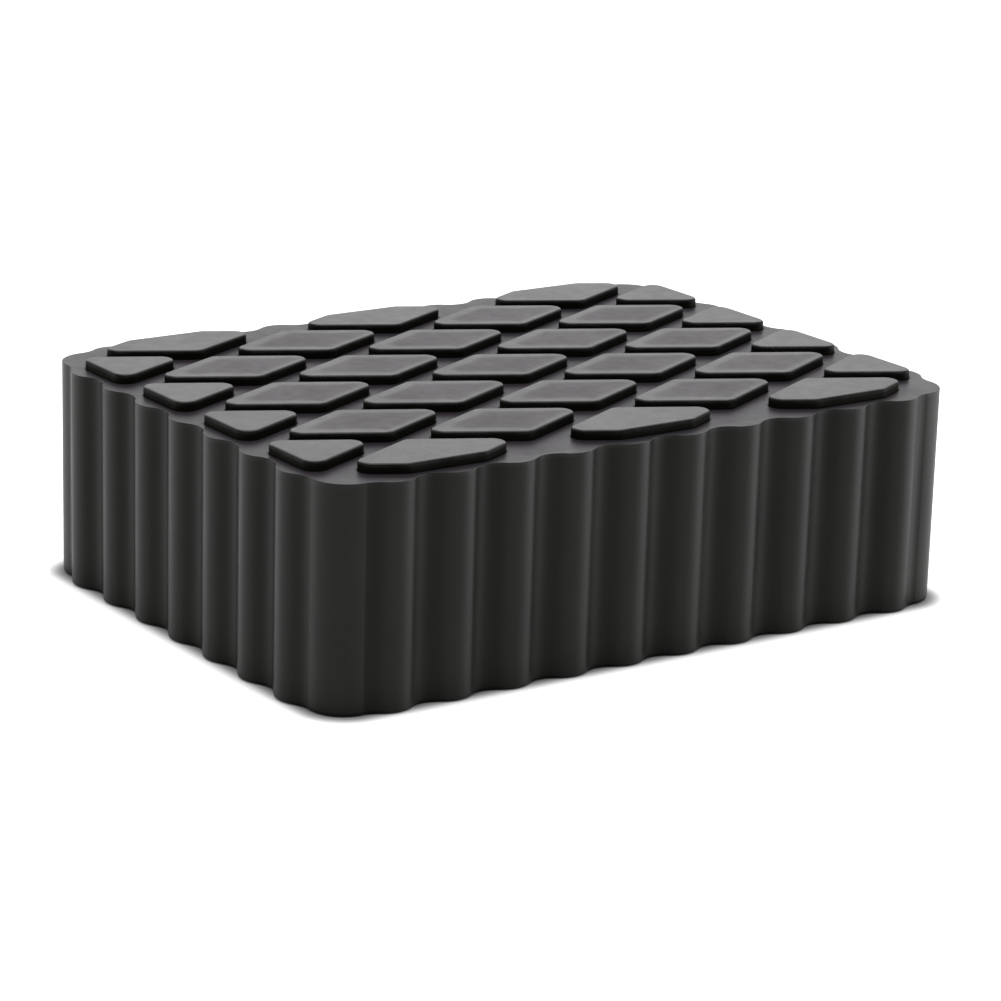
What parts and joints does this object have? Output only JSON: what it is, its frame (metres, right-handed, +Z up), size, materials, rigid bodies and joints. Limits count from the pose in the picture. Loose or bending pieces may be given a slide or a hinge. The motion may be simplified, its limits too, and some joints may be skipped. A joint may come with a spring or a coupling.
{
  "type": "jack rubber pad",
  "caption": "Rectangular moulded rubber block with fluted upright walls and a top tread of raised diamonds, laid between a jack or lift arm and a vehicle's jacking point.",
  "frame": {"origin": "middle of the flat base, on the surface that the pad stands on", "axes": "+X along the long side, +Y along the short side, +Z up towards the tread"},
  "size_m": [0.16, 0.12, 0.049],
  "materials": {
    "rubber": "satin moulded black rubber"
  },
  "bodies": {
    "root": {"rubber_block": "rubber"}
  },
  "joints": []
}
